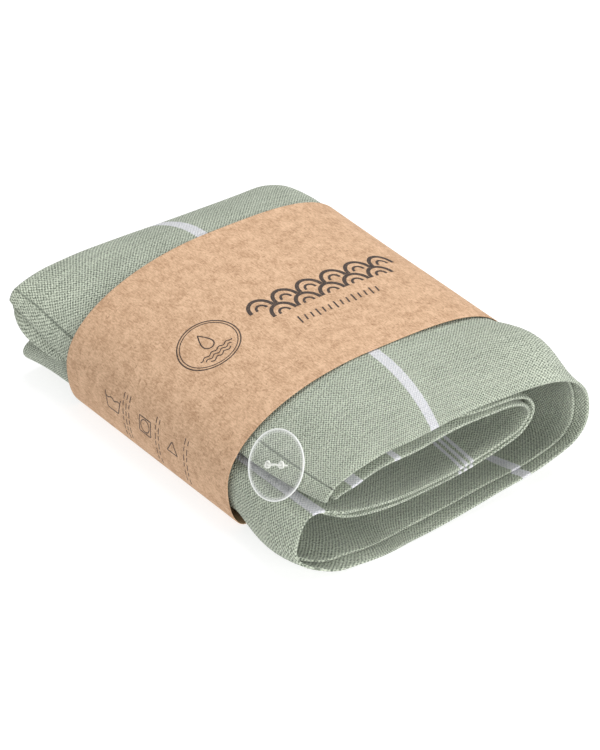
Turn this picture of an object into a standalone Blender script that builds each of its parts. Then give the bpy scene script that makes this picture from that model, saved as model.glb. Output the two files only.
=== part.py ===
"""Folded quick dry towel held shut by a kraft paper sleeve and a clear seal.

The cloth is folded in half along its length, so that every pass of the roll is two plies joined by a fold
at the back end, and it is then rolled flat. A paper sleeve is wrapped round the roll and glued underneath.
A clear disc is pinned to the flap by a plastic staple, in front of the sleeve.

Frame: +X runs along the roll towards its open front end, +Y across it, +Z up. The origin is under the
middle of the roll, at the surface it lies on. Lengths are in metres.
"""

import math

import bmesh
import bpy
import numpy as np
from mathutils import Matrix, Vector

# Roll
ROLL_LENGTH = 0.203  # half the width of the cloth
ROLL_WIDTH = 0.148
ROLL_HEIGHT = 0.060
WIDEST_HEIGHT = 0.022  # height at which both sides bulge out furthest
LEFT_CORNER = 0.013  # width of the rounded lower left corner
RIGHT_CORNER = 0.026  # width of the rounded lower right corner
LEFT_SHOULDER_POWER = 2.05  # 2 is a quarter ellipse, more is squarer
RIGHT_SHOULDER_POWER = 3.1

# Cloth
PLY = 0.0014
PLY_GAP = 0.0005
PLY_STAGGER = 0.006  # how far the outer ply stands out beyond the inner one
HEM_WIDTH = 0.0090
HEM_EXTRA = 0.0004  # each end hem is this much thicker than the cloth
HEM_EDGE = 0.0004  # length over which that thickness fades
FLAP_END_HEIGHT = 0.0350
FLAP_TUCK = 0.0014  # the flap's end lies this much deeper, which leaves room for its thread
FLAP_TUCK_REACH = 0.030
FLAP_RELEASE = 0.0020  # in front of the sleeve the flap's end bulges out this much
FLAP_RELEASE_REACH = 0.021
RELEASE_START = 0.001  # the bulge starts this far in front of the sleeve
RELEASE_LENGTH = 0.010

# Inner passes of the roll
LEFT_CREST_HEIGHT = 0.0290
LEFT_CREST_INSET = 0.0050
MIDDLE_SAG_HEIGHT = 0.0225
RIGHT_LOOP_INSET = 0.0275
RIGHT_LOOP_RISE = 0.0135  # height of the loop's outermost point above the middle pass
UNDER_FLAP_DROP = 0.0080
TUCK_FOLD_INSET = 0.0290
CURLED_END_INSET = 0.0210  # inner end of the cloth, from the right loop
CREST_REACH = 0.455  # share of the middle pass over which it comes down from the left fold
LOOP_START = 0.583  # share of the middle pass after which it climbs into the right loop
CREST_SHARE = 0.90  # how much of the left fold's height the middle pass starts with
LOOP_SHARE = 0.45  # how much of the loop's height it ends with
HIDDEN_FALL = 0.30  # the pass under the flap falls by this share of its height above the loop
CURL_DROP = 0.0012  # the tucked-in end bends down by this much
CURL_LEAD = (0.0040, 0.0050)  # direction in which the curve would go on past that end
MIDDLE_KNOTS = (0.10, 0.25, 0.42, 0.60, 0.76, 0.88)  # shares of each pass's width with a knot
HIDDEN_KNOTS = (0.78, 0.55, 0.30, 0.12)
TUCKED_KNOTS = (0.25, 0.55, 0.80)

# Sleeve
SLEEVE_LENGTH = 0.115
SLEEVE_SETBACK = 0.0517  # from the front end of the roll to the front edge of the sleeve
PAPER = 0.00045
LAP_LENGTH = 0.014
LAP_STEP_LENGTH = 0.006
GLUE_THICKNESS = 0.0002
GLUE_MARGIN = 0.002
GLUE_END_MARGIN = 0.006

# Seal
DISC_DIAMETER = 0.030
DISC_THICKNESS = 0.0005
DISC_SETBACK = 0.0065  # from the sleeve's front edge to the disc
DISC_LEAN = math.radians(0.1)  # the disc is steeper than the flap behind its staple by this
DISC_YAW = math.radians(5.0)  # the disc turns this far towards the front
STAPLE_ROLL = math.radians(24.0)  # the staple's bar rises by this towards the front
STAPLE_FROM_SEAM = 0.0046  # the staple's middle lies this far inside the hem's inner edge
LEG_SPACING = 0.0072
LEG_DIAMETER = 0.0009
LEG_OVERRUN = 0.0001  # the legs go this much past the middles of the heads and anchor bars they join
LEG_TAIL = 0.0020  # room behind the flap for its thread, in front of the anchor bars
BRIDGE_DIAMETER = 0.0011
BRIDGE_OVERRUN = 0.0005  # the bar ends this much outside the legs' middles, shared by its two ends
HEAD_DIAMETER = 0.0034
HEAD_THICKNESS = 0.0008
ANCHOR_DIAMETER = 0.0012
ANCHOR_SPACING = 0.0022  # between the two anchor bars, which lie in one line

THREAD_DIAMETER = 0.0004
THREAD_FROM_SEAM = 0.0006  # the thread lies this far inside the hem's inner edge
THREAD_END = 0.001  # it stops this far short of each end of the seam

# Fits
GAP = 0.0003
SLEEVE_CLEARANCE = 0.0004
LEG_CLEARANCE = 0.0003

# Fineness of the curves
OUTLINE_STEPS = 22
FINE_STEP = 0.0006
SMOOTHING_ROUNDS = 12
LONGEST_STEP = 0.013
LARGEST_TURN = math.radians(12.0)
FOLD_STEPS = 6
FLAP_STATIONS = 9
ROUND_SIDES = 12
DISC_SIDES = 64

HALF_PASS = PLY + PLY_GAP / 2
HALF_HEM = HALF_PASS + HEM_EXTRA
BACK_FOLD_CENTER = -ROLL_LENGTH / 2 + HALF_HEM + GAP + THREAD_DIAMETER
LAP_GAP = GLUE_THICKNESS + 2 * GAP
LAP_RISE = PAPER + LAP_GAP
ROLL_FLOOR = PAPER + LAP_RISE + SLEEVE_CLEARANCE
ROLL_INSET = PAPER + SLEEVE_CLEARANCE
SLEEVE_FRONT = ROLL_LENGTH / 2 - SLEEVE_SETBACK
SLEEVE_BACK = SLEEVE_FRONT - SLEEVE_LENGTH
RELEASE_AT = (SLEEVE_FRONT + RELEASE_START, SLEEVE_FRONT + RELEASE_START + RELEASE_LENGTH)

FINISHES = {
    "towel_cotton": ((0.41, 0.45, 0.37), 0.95, 0.0, 1.0),
    "hem_thread": ((0.22, 0.26, 0.20), 0.8, 0.0, 1.0),
    "kraft_paper": ((0.62, 0.42, 0.27), 0.85, 0.0, 1.0),
    "lap_glue": ((0.80, 0.76, 0.62), 0.4, 0.0, 1.0),
    "clear_film": ((0.90, 0.93, 0.90), 0.1, 0.0, 0.35),
    "clear_nylon": ((0.88, 0.90, 0.86), 0.25, 0.0, 0.6),
}


def material(name):
    """One Principled material, made on first use."""
    made = bpy.data.materials.get(name)
    if made:
        return made
    color, roughness, metallic, alpha = FINISHES[name]
    made = bpy.data.materials.new(name)
    made.use_nodes = True
    shader = made.node_tree.nodes["Principled BSDF"]
    shader.inputs["Base Color"].default_value = (*color, 1.0)
    shader.inputs["Roughness"].default_value = roughness
    shader.inputs["Metallic"].default_value = metallic
    shader.inputs["Alpha"].default_value = alpha
    return made


def add_object(name, mesh, finish, parent=None):
    """Link a mesh to the scene under a name, with its finish."""
    made = bpy.data.objects.new(name, mesh)
    bpy.context.scene.collection.objects.link(made)
    mesh.materials.append(material(finish))
    made.parent = parent
    return made


def mesh_from_bmesh(name, shape, smooth_angle=40.0):
    """Turn a bmesh into a mesh with its faces pointing out and its round faces shaded smooth."""
    bmesh.ops.recalc_face_normals(shape, faces=shape.faces)
    mesh = bpy.data.meshes.new(name)
    shape.to_mesh(mesh)
    shape.free()
    mesh.shade_smooth()
    mesh.set_sharp_from_angle(angle=math.radians(smooth_angle))
    return mesh


def quarter(center, reach, power, turn):
    """A quarter of a superellipse: from the side to the middle (turn 0), or back to the side (turn 1)."""
    angle = np.linspace(0.0, math.pi / 2, OUTLINE_STEPS, endpoint=False)
    if turn:
        angle = math.pi / 2 - angle
    along = np.cos(angle) ** (2 / power)
    up = np.sin(angle) ** (2 / power)
    return np.column_stack((center[0] + reach[0] * along, center[1] + reach[1] * up))


def offset_inward(points, inset):
    """Move a closed outline, run clockwise, inwards by a distance along its normals."""
    along = np.roll(points, -1, axis=0) - np.roll(points, 1, axis=0)
    along /= np.linalg.norm(along, axis=1)[:, None]
    inward = np.column_stack((along[:, 1], -along[:, 0]))
    return points + inward * inset


def sleeve_outline():
    """Outer outline of the sleeve as (y, z), clockwise from its leftmost point over the crowned top."""
    half = ROLL_WIDTH / 2
    rise = ROLL_HEIGHT - WIDEST_HEIGHT
    return np.vstack((
        quarter((0.0, WIDEST_HEIGHT), (-half, rise), LEFT_SHOULDER_POWER, 0),
        quarter((0.0, WIDEST_HEIGHT), (half, rise), RIGHT_SHOULDER_POWER, 1),
        quarter((half - RIGHT_CORNER, WIDEST_HEIGHT), (RIGHT_CORNER, -WIDEST_HEIGHT), 2.0, 0),
        [(half - RIGHT_CORNER, 0.0)],
        quarter((LEFT_CORNER - half, WIDEST_HEIGHT), (-LEFT_CORNER, -WIDEST_HEIGHT), 2.0, 1),
    ))


def resample(points, step):
    """Points at equal distances along an open line, ends included."""
    run = np.concatenate(([0.0], np.cumsum(np.linalg.norm(np.diff(points, axis=0), axis=1))))
    count = max(2, int(round(run[-1] / step)) + 1)
    places = np.linspace(0.0, run[-1], count)
    return np.column_stack([np.interp(places, run, points[:, axis]) for axis in range(points.shape[1])])


def smooth_through(knots, steps=14):
    """Centripetal Catmull-Rom curve through the knots, from the second knot to the last but one."""
    pieces = []
    for first, start, end, last in zip(knots, knots[1:], knots[2:], knots[3:]):
        places = [0.0]
        for one, other in ((first, start), (start, end), (end, last)):
            places.append(places[-1] + math.sqrt(np.linalg.norm(other - one)))
        t0, t1, t2, t3 = places
        t = np.linspace(t1, t2, steps, endpoint=False)[:, None]
        a1 = (t1 - t) / (t1 - t0) * first + (t - t0) / (t1 - t0) * start
        a2 = (t2 - t) / (t2 - t1) * start + (t - t1) / (t2 - t1) * end
        a3 = (t3 - t) / (t3 - t2) * end + (t - t2) / (t3 - t2) * last
        b1 = (t2 - t) / (t2 - t0) * a1 + (t - t0) / (t2 - t0) * a2
        b2 = (t3 - t) / (t3 - t1) * a2 + (t - t1) / (t3 - t1) * a3
        pieces.append((t2 - t) / (t2 - t1) * b1 + (t - t1) / (t2 - t1) * b2)
    return np.vstack(pieces)


def outer_pass():
    """Middle line of the outer pass: from the flap's end, over the top and underneath to the left side."""
    line = offset_inward(sleeve_outline(), ROLL_INSET + HALF_PASS)
    floor = ROLL_FLOOR + HALF_PASS
    flat = np.abs(line[:, 1] - line[:, 1].min()) < 1e-6
    line[:, 1] = np.where(flat, floor, np.maximum(line[:, 1], floor))
    top = line[:2 * OUTLINE_STEPS]
    start = int(np.argmax(top[:, 1] >= FLAP_END_HEIGHT))
    stop = len(line) - OUTLINE_STEPS // 3
    line = line[start:stop]
    run = np.concatenate(([0.0], np.cumsum(np.linalg.norm(np.diff(line, axis=0), axis=1))))
    fade = np.clip(1 - run / FLAP_TUCK_REACH, 0.0, 1.0)
    tuck = FLAP_TUCK * fade * fade * (3 - 2 * fade)
    along = np.gradient(line, axis=0)
    along /= np.linalg.norm(along, axis=1)[:, None]
    return line + np.column_stack((along[:, 1], -along[:, 0])) * tuck[:, None]


def inner_passes(outer):
    """Knots of the passes inside: left crest, middle pass, right loop, hidden pass and tucked-in end."""
    crest_y = outer[:, 0].min() + LEFT_CREST_INSET
    tuck_y = outer[:, 0].min() + TUCK_FOLD_INSET
    loop_y = outer[:, 0].max() - RIGHT_LOOP_INSET
    end_y = loop_y - CURLED_END_INSET
    loop_z = MIDDLE_SAG_HEIGHT + RIGHT_LOOP_RISE
    under = outer[:, 1].max() - UNDER_FLAP_DROP
    span = loop_y - crest_y
    upper_span = loop_y - tuck_y

    def middle(share):
        """Height of the middle pass, which sags between its two folds."""
        from_crest = max(0.0, 1 - share / CREST_REACH)
        to_loop = max(0.0, (share - LOOP_START) / (1 - LOOP_START))
        return (MIDDLE_SAG_HEIGHT + CREST_SHARE * (LEFT_CREST_HEIGHT - MIDDLE_SAG_HEIGHT) * from_crest ** 2
                + LOOP_SHARE * RIGHT_LOOP_RISE * to_loop ** 2)

    def hidden(share):
        """Height of the pass under the flap, which falls towards the tuck fold at its left end."""
        return under - HIDDEN_FALL * (under - loop_z) * (1 - share) ** 2

    def tucked(y):
        """Height of the tucked-in end, halfway between the two passes around it."""
        share = (y - tuck_y) / upper_span
        return (middle(share) + hidden(share)) / 2

    fold_top = hidden(0.0)
    fold_low = (fold_top + middle(HIDDEN_KNOTS[2])) / 2
    fold_depth = fold_top - fold_low
    knots = [(crest_y, LEFT_CREST_HEIGHT)]
    knots += [(crest_y + share * span, middle(share)) for share in MIDDLE_KNOTS]
    knots += [
        (loop_y - 0.02 * upper_span, loop_z - 0.30 * RIGHT_LOOP_RISE),
        (loop_y, loop_z + 0.12 * RIGHT_LOOP_RISE),
        (loop_y - 0.07 * upper_span, (loop_z + 2 * under) / 3),
    ]
    knots += [(tuck_y + share * upper_span, hidden(share)) for share in HIDDEN_KNOTS]
    knots += [
        (tuck_y, fold_low + 0.42 * fold_depth),
        (tuck_y + 0.05 * upper_span, fold_low - 0.10 * fold_depth),
    ]
    knots += [(y, tucked(y)) for y in (tuck_y + share * (end_y - tuck_y) for share in TUCKED_KNOTS)]
    end_z = knots[-1][1] - CURL_DROP
    knots += [(end_y, end_z), (end_y + CURL_LEAD[0], end_z - CURL_LEAD[1])]
    return np.array(knots)


def roll_path():
    """Middle line between the two plies, from the flap's end inwards, with its outward normals and its run.

    Stations lie at equal shares of length plus turning, so folds get more of them than flat stretches.
    """
    outer = outer_pass()
    inner = smooth_through(np.vstack((outer[-3:], inner_passes(outer))))
    line = resample(np.vstack((outer[:-2], inner)), FINE_STEP)
    for _ in range(SMOOTHING_ROUNDS):
        line[1:-1] = 0.25 * line[:-2] + 0.5 * line[1:-1] + 0.25 * line[2:]
    along = np.gradient(line, axis=0)
    along /= np.linalg.norm(along, axis=1)[:, None]
    outward = np.column_stack((-along[:, 1], along[:, 0]))
    steps = np.linalg.norm(np.diff(line, axis=0), axis=1)
    turns = np.linalg.norm(np.diff(along, axis=0), axis=1)
    effort = np.concatenate(([0.0], np.cumsum(steps / LONGEST_STEP + turns / LARGEST_TURN)))
    run = np.concatenate(([0.0], np.cumsum(steps)))
    places = np.linspace(0.0, effort[-1], int(round(effort[-1])) + 1)
    line, outward = (np.column_stack([np.interp(places, effort, values) for values in pair.T])
                     for pair in (line, outward))
    return line, outward / np.linalg.norm(outward, axis=1)[:, None], np.interp(places, effort, run)


def release(run):
    """How far the flap bulges outwards in front of the sleeve: one smooth bump beside its end."""
    share = np.clip(run / FLAP_RELEASE_REACH, 0.0, 1.0)
    return FLAP_RELEASE * np.sin(math.pi * share) ** 2


def released(x):
    """Share of the bulge at a place along the roll: none under the sleeve, all of it near the front end."""
    return np.clip((x - RELEASE_AT[0]) / RELEASE_LENGTH, 0.0, 1.0)


def hem_frames(line, outward, run):
    """Stations of the cloth: the path's own, more at the flap's end, and a pair at each hem's seam."""
    inner_seam = run[-1] - HEM_WIDTH
    marks = np.array((HEM_WIDTH, HEM_WIDTH + HEM_EDGE, inner_seam - HEM_EDGE, inner_seam))
    flap = np.linspace(0.0, FLAP_RELEASE_REACH, FLAP_STATIONS)
    rest = run[run > FLAP_RELEASE_REACH + FINE_STEP]
    places = np.concatenate((flap, rest))
    keep = np.min(np.abs(places[:, None] - marks[None, :]), axis=1) > 2 * HEM_EDGE
    stations = np.sort(np.concatenate((places[keep], marks)))
    columns = [np.interp(stations, run, values) for values in (*line.T, *outward.T)]
    in_hem = (stations < HEM_WIDTH + HEM_EDGE / 2) | (stations > inner_seam - HEM_EDGE / 2)
    thickness = np.where(in_hem, HALF_HEM, HALF_PASS) - PLY_GAP / 2
    return np.column_stack(columns[:2]), np.column_stack(columns[2:]), thickness, release(stations)


def hairpin(thickness):
    """Section of one pass as (x, height off the middle line): two plies joined by a fold at the back."""
    half_gap = PLY_GAP / 2
    reach = half_gap + thickness
    front = ROLL_LENGTH / 2
    near, far = RELEASE_AT
    turn = np.linspace(math.pi / 2, 1.5 * math.pi, FOLD_STEPS + 1)
    round_back = np.column_stack((np.cos(turn), np.sin(turn)))
    outside = (BACK_FOLD_CENTER, 0.0) + reach * round_back
    inside = (BACK_FOLD_CENTER, 0.0) + half_gap * round_back[::-1]
    return np.vstack((
        [(front, reach), (far, reach), (near, reach)],
        outside,
        [(near, -reach), (far, -reach), (front - PLY_STAGGER, -reach)],
        [(front - PLY_STAGGER, -half_gap), (far, -half_gap), (near, -half_gap)],
        inside,
        [(near, half_gap), (far, half_gap), (front, half_gap)],
    ))


def make_cloth(parent):
    """The towel: the two-ply section carried along the roll's path, closed by flat ends."""
    shape = bmesh.new()
    rings = []
    for (y, z), (ny, nz), ply, bulge in zip(*hem_frames(*roll_path())):
        section = hairpin(ply)
        heights = section[:, 1] + bulge * released(section[:, 0])
        rings.append([shape.verts.new((x, y + ny * n, z + nz * n)) for x, n in zip(section[:, 0], heights)])
    size = len(rings[0])
    for ring, following in zip(rings, rings[1:]):
        for k in range(size):
            m = (k + 1) % size
            shape.faces.new((ring[k], ring[m], following[m], following[k]))
    shape.faces.new(rings[0])
    shape.faces.new(rings[-1][::-1])
    bmesh.ops.triangulate(shape, faces=shape.faces)
    return add_object("towel_cloth", mesh_from_bmesh("towel_cloth", shape), "towel_cotton", parent)


def place_on_path(place):
    """Point and outward normal on the middle line at a distance from the flap's end."""
    line, outward, run = roll_path()
    point = np.array([np.interp(place, run, line[:, axis]) for axis in range(2)])
    normal = np.array([np.interp(place, run, outward[:, axis]) for axis in range(2)])
    return point, normal / np.linalg.norm(normal)


def make_tube(name, points, diameter, finish, parent):
    """A round thread along points, with filled ends."""
    curve = bpy.data.curves.new(name, "CURVE")
    curve.dimensions = "3D"
    curve.bevel_depth = diameter / 2
    curve.bevel_resolution = 2
    curve.use_fill_caps = True
    spline = curve.splines.new("POLY")
    spline.points.add(len(points) - 1)
    for point, place in zip(spline.points, points):
        point.co = (*place, 1.0)
    curve.materials.append(material(finish))
    made = bpy.data.objects.new(name, curve)
    bpy.context.scene.collection.objects.link(made)
    made.parent = parent
    return made


def make_hem_thread(name, place, parent):
    """A hem's thread: along the outer ply, round the back fold and back along the inner ply."""
    point, normal = place_on_path(place)
    off = HALF_HEM + GAP + THREAD_DIAMETER / 2
    front = ROLL_LENGTH / 2 - THREAD_END
    near, far = RELEASE_AT
    turn = np.linspace(math.pi / 2, 1.5 * math.pi, FOLD_STEPS + 3)
    x = np.concatenate(((front, far, near), BACK_FOLD_CENTER + off * np.cos(turn),
                        (near, far, front - PLY_STAGGER)))
    n = np.concatenate(((off, off, off), off * np.sin(turn), (-off, -off, -off)))
    n += release(place) * released(x)
    points = [(a, point[0] + normal[0] * b, point[1] + normal[1] * b) for a, b in zip(x, n)]
    return make_tube(name, points, THREAD_DIAMETER, "hem_thread", parent)


def sleeve_line():
    """Middle line of the paper, clockwise round the roll from the lap's lower end to its upper end."""
    outline = offset_inward(sleeve_outline(), PAPER / 2)
    low = PAPER / 2
    high = low + LAP_RISE
    lap_end = LAP_LENGTH / 2
    left_flat = LEFT_CORNER - ROLL_WIDTH / 2
    right_flat = ROLL_WIDTH / 2 - RIGHT_CORNER
    around = np.vstack((
        outline[3 * OUTLINE_STEPS + 1:],
        outline[:3 * OUTLINE_STEPS],
    ))
    return np.vstack((
        [(lap_end, low), (left_flat, low)],
        around[around[:, 1] > low + 1e-6],
        [(right_flat, low), (lap_end + GAP + LAP_STEP_LENGTH, low)],
        [(lap_end + GAP, high), (-lap_end, high)],
    ))


def make_strip(name, line, thickness, x_range, finish, parent):
    """A strip of even thickness that follows an open line, as wide as the given range of x."""
    steps = np.diff(line, axis=0)
    steps /= np.linalg.norm(steps, axis=1)[:, None]
    normals = np.vstack((steps[:1], steps[:-1] + steps[1:], steps[-1:]))
    normals /= np.linalg.norm(normals, axis=1)[:, None]
    normals = np.column_stack((-normals[:, 1], normals[:, 0]))
    stretch = np.concatenate(([1.0], 1 / np.sqrt((1 + np.sum(steps[:-1] * steps[1:], axis=1)) / 2), [1.0]))
    reach = normals * (stretch * thickness / 2)[:, None]
    loop = np.vstack((line + reach, (line - reach)[::-1]))
    shape = bmesh.new()
    sides = [[shape.verts.new((x, y, z)) for y, z in loop] for x in x_range]
    size = len(loop)
    for k in range(size):
        m = (k + 1) % size
        shape.faces.new((sides[0][k], sides[0][m], sides[1][m], sides[1][k]))
    half = size // 2
    for side in sides:
        for k in range(half - 1):
            shape.faces.new((side[k], side[k + 1], side[size - 2 - k], side[size - 1 - k]))
    bmesh.ops.triangulate(shape, faces=shape.faces)
    return add_object(name, mesh_from_bmesh(name, shape), finish, parent)


def flap_surface(place):
    """Point and outward normal of the released flap's outer face, at a distance from its end."""
    around = []
    for near in (place - FINE_STEP, place + FINE_STEP):
        point, normal = place_on_path(near)
        around.append(point + normal * (HALF_HEM + release(near)))
    along = (around[1] - around[0]) / np.linalg.norm(around[1] - around[0])
    return (around[0] + around[1]) / 2, np.array((-along[1], along[0]))


def disc_frame():
    """The disc's place: its centre, its axes as columns (along the staple's bar, up its face, outwards),
    how far it stands off the flap, and the length of a leg inside the cloth."""
    point, normal = flap_surface(HEM_WIDTH - STAPLE_FROM_SEAM)
    tilt = math.atan2(-normal[0], normal[1]) + DISC_LEAN
    outwards = Matrix.Rotation(DISC_YAW, 3, "Z") @ Vector((0.0, -math.sin(tilt), math.cos(tilt)))
    level = Vector((0.0, 0.0, 1.0)).cross(outwards).normalized()
    rise = outwards.cross(level)
    across = level * math.cos(STAPLE_ROLL) + rise * math.sin(STAPLE_ROLL)
    turn = Matrix((across, outwards.cross(across), outwards)).transposed()
    radius = DISC_DIAMETER / 2
    x = SLEEVE_FRONT + DISC_SETBACK + radius
    line, outward, _, bulge = hem_frames(*roll_path())
    surface = line + outward * (HALF_HEM + bulge)[:, None]
    reach = np.max(surface @ np.array((outwards.y, outwards.z))) + outwards.x * (x + radius)
    seat = Vector((x, *point))
    stand_off = reach + GAP + DISC_THICKNESS / 2 - seat.dot(outwards)
    in_cloth = 2 * HALF_HEM / (normal[0] * outwards.y + normal[1] * outwards.z)
    return seat + outwards * stand_off, turn, stand_off, in_cloth


def round_bar(name, length, diameter, matrix, sides=ROUND_SIDES):
    """A round bar along its own Z, placed by a matrix."""
    shape = bmesh.new()
    bmesh.ops.create_cone(shape, cap_ends=True, segments=sides, radius1=diameter / 2, radius2=diameter / 2,
                          depth=length)
    bmesh.ops.transform(shape, matrix=matrix, verts=shape.verts)
    return mesh_from_bmesh(name, shape)


def guide(name, mesh):
    """A shape that only cuts or joins others."""
    made = bpy.data.objects.new(name, mesh)
    bpy.context.scene.collection.objects.link(made)
    made.hide_render = True
    made.display_type = "WIRE"
    return made


def combine(target, other, operation):
    """Add a Boolean modifier to an object."""
    modifier = target.modifiers.new(f"{operation}_{other.name}".lower(), "BOOLEAN")
    modifier.operation = operation
    modifier.solver = "EXACT"
    modifier.object = other


def make_seal(cloth, parent):
    """The disc, the staple through it, and the staple's two holes in the flap."""
    center, turn, stand_off, in_cloth = disc_frame()
    frame = Matrix.Translation(center) @ turn.to_4x4()
    lie_across = Matrix.Rotation(math.pi / 2, 4, "Y")
    off_edge = Matrix.Rotation(math.pi / ROUND_SIDES, 4, "Z")  # keeps edges of joined bars from meeting
    face = DISC_THICKNESS / 2 + GAP
    head_height = face + HEAD_THICKNESS / 2
    leg_end = -(stand_off + in_cloth + LEG_TAIL)

    def along_leg(across, low, high):
        """Place for a bar that stands on the disc between two heights, beside its middle."""
        return frame @ Matrix.Translation((across, 0.0, (low + high) / 2))

    disc = add_object("seal_disc", round_bar("seal_disc", DISC_THICKNESS, DISC_DIAMETER, frame, DISC_SIDES),
                      "clear_film", parent)
    bridge = along_leg(0.0, head_height, head_height + BRIDGE_DIAMETER / 2) @ lie_across
    staple = add_object(
        "tag_staple", round_bar("tag_staple", LEG_SPACING + BRIDGE_OVERRUN, BRIDGE_DIAMETER, bridge),
        "clear_nylon", parent)
    for number, across in enumerate((-LEG_SPACING / 2, LEG_SPACING / 2), 1):
        head = along_leg(across, face, face + HEAD_THICKNESS) @ off_edge
        leg = along_leg(across, leg_end - LEG_OVERRUN, head_height + LEG_OVERRUN) @ off_edge
        anchor = along_leg(across, leg_end, leg_end) @ lie_across
        for kind, length, diameter, place in (
            ("head", HEAD_THICKNESS, HEAD_DIAMETER, head),
            ("leg", head_height - leg_end + 2 * LEG_OVERRUN, LEG_DIAMETER, leg),
            ("anchor", LEG_SPACING - ANCHOR_SPACING, ANCHOR_DIAMETER, anchor),
        ):
            bar = guide(f"staple_{kind}_{number}", round_bar(kind, length, diameter, place))
            combine(staple, bar, "UNION")
        hole = guide(f"leg_hole_{number}", round_bar(
            "leg_hole", face - leg_end, LEG_DIAMETER + 2 * LEG_CLEARANCE, along_leg(across, leg_end, face)))
        combine(disc, hole, "DIFFERENCE")
        combine(cloth, hole, "DIFFERENCE")


def main():
    """Build the towel, its threads, the sleeve and the seal."""
    for old in list(bpy.data.objects):
        bpy.data.objects.remove(old, do_unlink=True)

    towel = bpy.data.objects.new("towel", None)
    sleeve = bpy.data.objects.new("sleeve", None)
    for body in (towel, sleeve):
        bpy.context.scene.collection.objects.link(body)

    cloth = make_cloth(towel)
    run = roll_path()[2][-1]
    seam = HEM_WIDTH - THREAD_FROM_SEAM
    make_hem_thread("flap_hem_thread", seam, towel)
    make_hem_thread("inner_hem_thread", run - seam, towel)
    make_seal(cloth, towel)

    make_strip("paper_sleeve", sleeve_line(), PAPER, (SLEEVE_BACK, SLEEVE_FRONT), "kraft_paper", sleeve)
    glue_height = PAPER + GAP + GLUE_THICKNESS / 2
    glue_reach = LAP_LENGTH / 2 - GLUE_MARGIN
    glue_line = np.array(((-glue_reach, glue_height), (glue_reach, glue_height)))
    glue_ends = (SLEEVE_BACK + GLUE_END_MARGIN, SLEEVE_FRONT - GLUE_END_MARGIN)
    make_strip("sleeve_glue_strip", glue_line, GLUE_THICKNESS, glue_ends, "lap_glue", sleeve)


main()
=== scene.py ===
"""Looks of a folded quick dry towel, held shut by a kraft paper sleeve and a clear seal.

The cloth is one long sheet, folded in half along its length and then rolled flat. Each pass of the roll
is two plies joined by a fold at the back end (-X). The open ends of the plies are at the front end (+X).
Lengths are in metres.
"""

import logging
import math
from dataclasses import dataclass
from enum import Enum, IntEnum

import bpy
import numpy as np
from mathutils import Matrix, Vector


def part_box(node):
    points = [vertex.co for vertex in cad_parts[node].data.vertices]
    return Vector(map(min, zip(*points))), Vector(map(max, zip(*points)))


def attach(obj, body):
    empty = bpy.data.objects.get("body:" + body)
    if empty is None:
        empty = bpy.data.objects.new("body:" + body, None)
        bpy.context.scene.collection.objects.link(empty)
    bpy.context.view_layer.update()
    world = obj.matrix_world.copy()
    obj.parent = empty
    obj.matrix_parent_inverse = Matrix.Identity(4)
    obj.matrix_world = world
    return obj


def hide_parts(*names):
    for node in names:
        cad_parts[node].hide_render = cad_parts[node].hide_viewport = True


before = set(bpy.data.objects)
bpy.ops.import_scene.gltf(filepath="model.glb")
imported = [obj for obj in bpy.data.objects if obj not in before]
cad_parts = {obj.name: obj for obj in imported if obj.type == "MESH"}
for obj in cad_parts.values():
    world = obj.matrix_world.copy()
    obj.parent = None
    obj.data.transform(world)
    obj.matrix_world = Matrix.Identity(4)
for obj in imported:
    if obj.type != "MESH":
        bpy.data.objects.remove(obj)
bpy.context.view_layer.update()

LOG = logging.getLogger("towel")
MM = 0.001


class Body(Enum):
    """The CAD bodies that pieces ride on."""

    TOWEL = "towel"
    SLEEVE = "sleeve"


class Slot(Enum):
    """Names of the material slots, one for each finish."""

    COTTON = "towel_cotton"
    THREAD = "hem_thread"
    KRAFT = "kraft_paper"
    FILM = "clear_film"
    NYLON = "clear_nylon"


class Knot(IntEnum):
    """Places along the cloth, from the flap's end inwards, as numbers of the knots in its outlines."""

    FLAP_END = 1
    SHOULDER = 10
    LEFT_CORNER = 20
    LEFT_CREST = 23
    MIDDLE_START = 25
    RIGHT_LOOP = 31
    HIDDEN_START = 34
    TUCK_FOLD = 40
    TUCKED_END = 43


# ---------------------------------------------------------------------------------------------
# Curves and grids
# ---------------------------------------------------------------------------------------------


def ease(value: np.ndarray, low: float, high: float) -> np.ndarray:
    """Smooth step from 0 at low to 1 at high: 3 t squared minus 2 t cubed.

    Args:
        value: Where to work it out.
        low: Value at which the step starts.
        high: Value at which it ends.

    Returns:
        The share, as an array like value.
    """
    share = np.clip((value - low) / (high - low), 0.0, 1.0)
    return share * share * (3 - 2 * share)


def plateau(value: np.ndarray, low: float, high: float, margin: float) -> np.ndarray:
    """1 between low and high, falling smoothly to 0 over the margin outside them."""
    return ease(value, low - margin, low) * (1 - ease(value, high, high + margin))


def run_along(line: np.ndarray) -> np.ndarray:
    """Distance along an open line of points, from 0 at its first one."""
    return np.concatenate(([0.0], np.cumsum(np.linalg.norm(np.diff(line, axis=0), axis=1))))


def tangents(line: np.ndarray, looped: bool = False) -> np.ndarray:
    """Unit directions along a line: the central difference of its points, over its length."""
    along = np.roll(line, -1, axis=0) - np.roll(line, 1, axis=0) if looped else np.gradient(line, axis=0)
    return along / np.linalg.norm(along, axis=1)[:, None]


def at_run(line: np.ndarray, run: np.ndarray, places: np.ndarray) -> np.ndarray:
    """Rows of a table read between its stations.

    Args:
        line: Table with one row for each station.
        run: Distance of each station.
        places: Distances to read it at.

    Returns:
        One row for each place.
    """
    return np.column_stack([np.interp(places, run, column) for column in line.T])


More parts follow.
